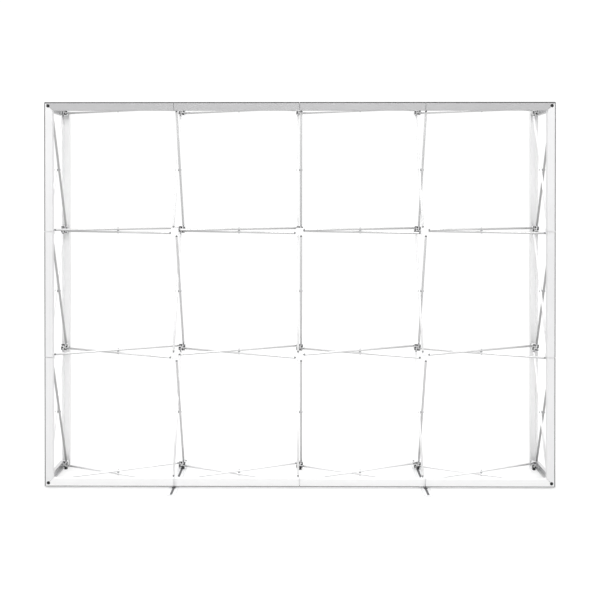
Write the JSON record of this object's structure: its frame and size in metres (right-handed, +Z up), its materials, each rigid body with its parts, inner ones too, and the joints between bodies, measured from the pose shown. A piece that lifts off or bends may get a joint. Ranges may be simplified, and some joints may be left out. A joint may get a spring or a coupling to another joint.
{
  "type": "fabric display wall frame",
  "caption": "Pop-up frame of a fabric display wall: a folding lattice of crossed tubes between moulded hubs, edged with hinged channel bars, on two flat feet.",
  "frame": {"origin": "on the floor, in the middle of the wall's length and depth", "axes": "+X along the wall to the right, +Z up; the front, where the print goes, faces -Y"},
  "size_m": [2.98, 0.64, 2.254],
  "materials": {
    "hub_moulding": "light grey moulded nylon",
    "tube": "satin anodised round tube",
    "bar": "satin anodised extrusion",
    "black_moulding": "black moulded nylon",
    "lug_moulding": "grey moulded nylon",
    "rubber": "black rubber",
    "plate": "pale grey powder coat on steel"
  },
  "bodies": {
    "lattice": {"bar_catches": "lug_moulding", "bar_hinge_lugs": "lug_moulding", "column_1_falling_tubes": "tube", "column_1_rising_tubes": "tube", "column_2_falling_tubes": "tube", "column_2_rising_tubes": "tube", "column_3_falling_tubes": "tube", "column_3_rising_tubes": "tube", "column_4_falling_tubes": "tube", "column_4_rising_tubes": "tube", "column_5_falling_tubes": "tube", "column_5_rising_tubes": "tube", "corner_hub_feet": "rubber", "corner_posts": "black_moulding", "front_edge_hubs": "hub_moulding", "front_end_plugs": "lug_moulding", "front_inner_hubs": "hub_moulding", "hub_feet": "rubber", "pivot_spacers": "lug_moulding", "rear_edge_hubs": "hub_moulding", "rear_end_plugs": "lug_moulding", "rear_inner_hubs": "hub_moulding", "row_1_lower_tubes": "tube", "row_1_upper_tubes": "tube", "row_2_lower_tubes": "tube", "row_2_upper_tubes": "tube", "row_3_lower_tubes": "tube", "row_3_upper_tubes": "tube", "row_4_lower_tubes": "tube", "row_4_upper_tubes": "tube", "side_bar_catches": "lug_moulding", "side_bar_hinge_lugs": "lug_moulding"},
    "front_top_bar_1": {"front_top_bar_1": "bar"},
    "front_top_bar_2": {"front_top_bar_2": "bar"},
    "front_top_bar_3": {"front_top_bar_3": "bar"},
    "front_top_bar_4": {"front_top_bar_4": "bar"},
    "front_bottom_bar_1": {"front_bottom_bar_1": "bar"},
    "front_bottom_bar_2": {"front_bottom_bar_2": "bar"},
    "front_bottom_bar_3": {"front_bottom_bar_3": "bar"},
    "front_bottom_bar_4": {"front_bottom_bar_4": "bar"},
    "front_left_bar_1": {"front_left_bar_1": "bar"},
    "front_left_bar_2": {"front_left_bar_2": "bar"},
    "front_left_bar_3": {"front_left_bar_3": "bar"},
    "front_right_bar_1": {"front_right_bar_1": "bar"},
    "front_right_bar_2": {"front_right_bar_2": "bar"},
    "front_right_bar_3": {"front_right_bar_3": "bar"},
    "rear_left_bar_1": {"rear_left_bar_1": "bar"},
    "rear_left_bar_2": {"rear_left_bar_2": "bar"},
    "rear_left_bar_3": {"rear_left_bar_3": "bar"},
    "rear_right_bar_1": {"rear_right_bar_1": "bar"},
    "rear_right_bar_2": {"rear_right_bar_2": "bar"},
    "rear_right_bar_3": {"rear_right_bar_3": "bar"},
    "top_left_side_bar": {"top_left_side_bar": "bar"},
    "top_right_side_bar": {"top_right_side_bar": "bar"},
    "bottom_left_side_bar": {"bottom_left_side_bar": "bar"},
    "bottom_right_side_bar": {"bottom_right_side_bar": "bar"},
    "left_stabiliser": {"left_stabiliser_plate": "plate", "left_stabiliser_strip": "rubber"},
    "right_stabiliser": {"right_stabiliser_plate": "plate", "right_stabiliser_strip": "rubber"}
  },
  "joints": [
    {"name": "front_top_bar_1_hinge", "type": "hinge", "parent": "lattice", "child": "front_top_bar_1", "pos_m": [-0.74625, -0.189, 2.2273], "axis": [0, 0, 1], "range_deg": [0, 90]},
    {"name": "front_top_bar_2_hinge", "type": "hinge", "parent": "lattice", "child": "front_top_bar_2", "pos_m": [-0.01225, -0.189, 2.2273], "axis": [0, 0, 1], "range_deg": [0, 90]},
    {"name": "front_top_bar_3_hinge", "type": "hinge", "parent": "lattice", "child": "front_top_bar_3", "pos_m": [0.01225, -0.189, 2.2273], "axis": [0, 0, -1], "range_deg": [0, 90]},
    {"name": "front_top_bar_4_hinge", "type": "hinge", "parent": "lattice", "child": "front_top_bar_4", "pos_m": [0.74625, -0.189, 2.2273], "axis": [0, 0, -1], "range_deg": [0, 90]},
    {"name": "front_bottom_bar_1_hinge", "type": "hinge", "parent": "lattice", "child": "front_bottom_bar_1", "pos_m": [-0.74625, -0.189, 0.0347], "axis": [0, 0, 1], "range_deg": [0, 90]},
    {"name": "front_bottom_bar_2_hinge", "type": "hinge", "parent": "lattice", "child": "front_bottom_bar_2", "pos_m": [-0.01225, -0.189, 0.0347], "axis": [0, 0, 1], "range_deg": [0, 90]},
    {"name": "front_bottom_bar_3_hinge", "type": "hinge", "parent": "lattice", "child": "front_bottom_bar_3", "pos_m": [0.01225, -0.189, 0.0347], "axis": [0, 0, -1], "range_deg": [0, 90]},
    {"name": "front_bottom_bar_4_hinge", "type": "hinge", "parent": "lattice", "child": "front_bottom_bar_4", "pos_m": [0.74625, -0.189, 0.0347], "axis": [0, 0, -1], "range_deg": [0, 90]},
    {"name": "front_left_bar_1_hinge", "type": "hinge", "parent": "lattice", "child": "front_left_bar_1", "pos_m": [-1.4633, -0.189, 1.51025], "axis": [1, 0, 0], "range_deg": [0, 90]},
    {"name": "front_left_bar_2_hinge", "type": "hinge", "parent": "lattice", "child": "front_left_bar_2", "pos_m": [-1.4633, -0.189, 1.48575], "axis": [-1, 0, 0], "range_deg": [0, 90]},
    {"name": "front_left_bar_3_hinge", "type": "hinge", "parent": "lattice", "child": "front_left_bar_3", "pos_m": [-1.4633, -0.189, 0.75175], "axis": [-1, 0, 0], "range_deg": [0, 90]},
    {"name": "front_right_bar_1_hinge", "type": "hinge", "parent": "lattice", "child": "front_right_bar_1", "pos_m": [1.4633, -0.189, 1.51025], "axis": [1, 0, 0], "range_deg": [0, 90]},
    {"name": "front_right_bar_2_hinge", "type": "hinge", "parent": "lattice", "child": "front_right_bar_2", "pos_m": [1.4633, -0.189, 1.48575], "axis": [-1, 0, 0], "range_deg": [0, 90]},
    {"name": "front_right_bar_3_hinge", "type": "hinge", "parent": "lattice", "child": "front_right_bar_3", "pos_m": [1.4633, -0.189, 0.75175], "axis": [-1, 0, 0], "range_deg": [0, 90]},
    {"name": "rear_left_bar_1_hinge", "type": "hinge", "parent": "lattice", "child": "rear_left_bar_1", "pos_m": [-1.4633, 0.189, 1.51025], "axis": [-1, 0, 0], "range_deg": [0, 90]},
    {"name": "rear_left_bar_2_hinge", "type": "hinge", "parent": "lattice", "child": "rear_left_bar_2", "pos_m": [-1.4633, 0.189, 1.48575], "axis": [1, 0, 0], "range_deg": [0, 90]},
    {"name": "rear_left_bar_3_hinge", "type": "hinge", "parent": "lattice", "child": "rear_left_bar_3", "pos_m": [-1.4633, 0.189, 0.75175], "axis": [1, 0, 0], "range_deg": [0, 90]},
    {"name": "rear_right_bar_1_hinge", "type": "hinge", "parent": "lattice", "child": "rear_right_bar_1", "pos_m": [1.4633, 0.189, 1.51025], "axis": [-1, 0, 0], "range_deg": [0, 90]},
    {"name": "rear_right_bar_2_hinge", "type": "hinge", "parent": "lattice", "child": "rear_right_bar_2", "pos_m": [1.4633, 0.189, 1.48575], "axis": [1, 0, 0], "range_deg": [0, 90]},
    {"name": "rear_right_bar_3_hinge", "type": "hinge", "parent": "lattice", "child": "rear_right_bar_3", "pos_m": [1.4633, 0.189, 0.75175], "axis": [1, 0, 0], "range_deg": [0, 90]},
    {"name": "top_left_side_bar_hinge", "type": "hinge", "parent": "lattice", "child": "top_left_side_bar", "pos_m": [-1.484, -0.126, 2.2273], "axis": [0, 0, 1], "range_deg": [0, 90]},
    {"name": "top_right_side_bar_hinge", "type": "hinge", "parent": "lattice", "child": "top_right_side_bar", "pos_m": [1.484, -0.126, 2.2273], "axis": [0, 0, -1], "range_deg": [0, 90]},
    {"name": "bottom_left_side_bar_hinge", "type": "hinge", "parent": "lattice", "child": "bottom_left_side_bar", "pos_m": [-1.484, -0.126, 0.0347], "axis": [0, 0, 1], "range_deg": [0, 90]},
    {"name": "bottom_right_side_bar_hinge", "type": "hinge", "parent": "lattice", "child": "bottom_right_side_bar", "pos_m": [1.484, -0.126, 0.0347], "axis": [0, 0, -1], "range_deg": [0, 90]},
    {"name": "left_stabiliser_lift_off", "type": "slide", "parent": "lattice", "child": "left_stabiliser", "axis": [0, 0, -1], "range_m": [0, 0.06]},
    {"name": "right_stabiliser_lift_off", "type": "slide", "parent": "lattice", "child": "right_stabiliser", "axis": [0, 0, -1], "range_m": [0, 0.06]}
  ]
}
